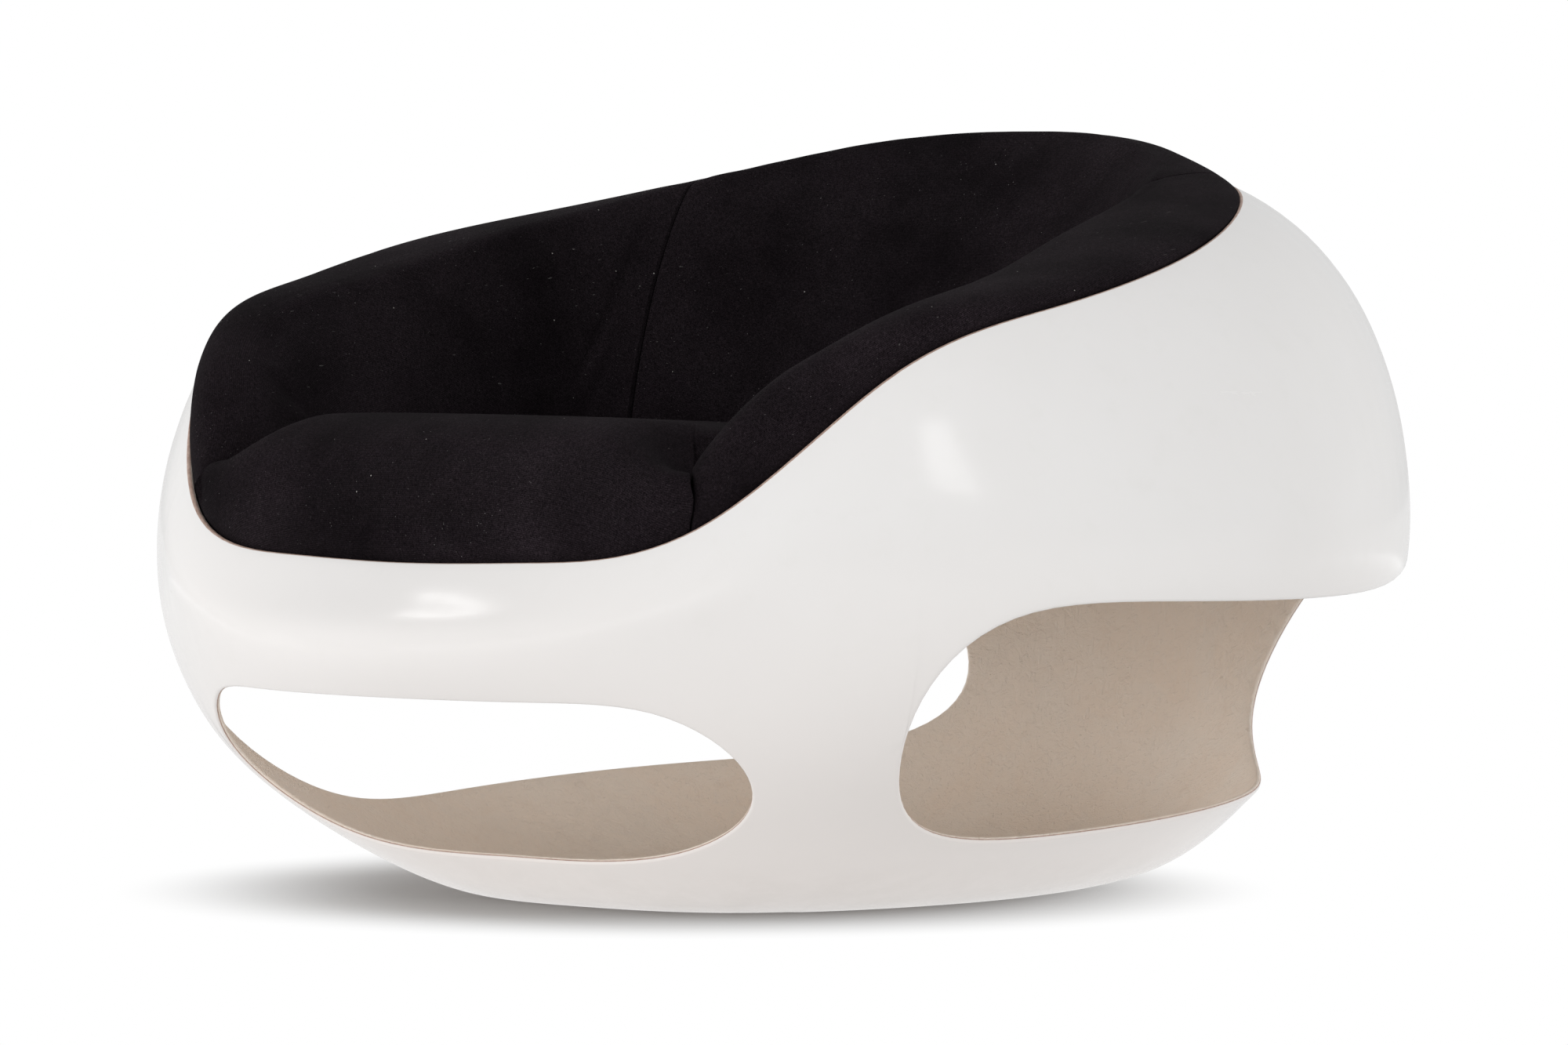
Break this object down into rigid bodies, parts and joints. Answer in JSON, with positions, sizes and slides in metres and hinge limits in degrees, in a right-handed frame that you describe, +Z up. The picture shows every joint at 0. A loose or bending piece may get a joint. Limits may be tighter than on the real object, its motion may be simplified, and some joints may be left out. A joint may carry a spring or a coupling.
{
  "type": "moulded lounge chair",
  "caption": "Ball-shaped white moulded lounge chair with large cut-away openings round its bowl base and a low black padded seat with wrap-round arms and back.",
  "frame": {"origin": "on the flat underside of the bowl, below the middle of the plan, where the chair rests on the floor", "axes": "+Z up, the sitter looks along -Y, +X is the sitter's left"},
  "size_m": [1.0974, 1.0199, 0.6362],
  "materials": {
    "white_gelcoat": "glossy white gelcoat",
    "raw_laminate": "raw beige laminate",
    "black_wool": "black woven wool",
    "timber_wedge": "plain sawn timber"
  },
  "bodies": {
    "root": {"outer_shell": "white_gelcoat", "seat_pan": "raw_laminate", "left_arm_pad": "black_wool", "right_arm_pad": "black_wool", "back_pad": "black_wool", "seat_pad": "black_wool", "left_front_wedge": "timber_wedge", "left_side_wedge": "timber_wedge", "left_rear_wedge": "timber_wedge", "right_front_wedge": "timber_wedge", "right_side_wedge": "timber_wedge", "right_rear_wedge": "timber_wedge"}
  },
  "joints": []
}
